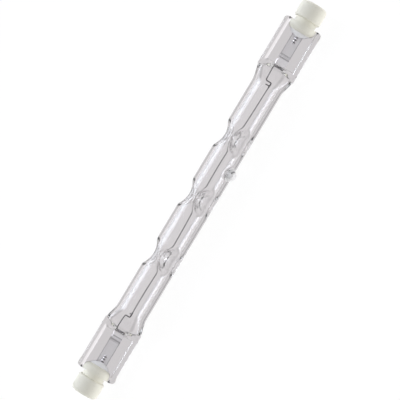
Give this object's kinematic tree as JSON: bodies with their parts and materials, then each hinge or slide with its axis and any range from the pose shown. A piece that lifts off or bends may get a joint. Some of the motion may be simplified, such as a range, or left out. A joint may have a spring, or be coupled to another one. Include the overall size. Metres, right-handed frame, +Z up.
{
  "type": "linear halogen bulb",
  "caption": "Double-ended linear halogen bulb: clear quartz tube with dimples round a coiled filament, flat press seals and ceramic ends with recessed contacts.",
  "frame": {"origin": "on the axis of the tube, halfway between the two contacts", "axes": "+X along the bulb, towards the end nearer the exhaust stub; +Z up from the surface that the bulb lies on, with the tube and one rail of the press seals touching it; +Y level, towards the side where the other rail is raised"},
  "size_m": [0.1176, 0.0112, 0.0086],
  "materials": {
    "fused_quartz": "clear and polished",
    "tungsten": "dull coiled wire",
    "lead_wire": "drawn wire",
    "molybdenum_foil": "matt rolled foil",
    "steatite": "fine unglazed",
    "cement": "set paste",
    "contact_metal": "plated"
  },
  "bodies": {
    "root": {"quartz_envelope": "fused_quartz", "filament": "tungsten", "inner_lead_left": "lead_wire", "inner_lead_right": "lead_wire", "seal_foil_left": "molybdenum_foil", "seal_foil_right": "molybdenum_foil", "outer_lead_left": "lead_wire", "outer_lead_right": "lead_wire", "ceramic_base_left": "steatite", "ceramic_base_right": "steatite", "cement_left": "cement", "cement_right": "cement", "contact_left": "contact_metal", "contact_right": "contact_metal"}
  },
  "joints": []
}
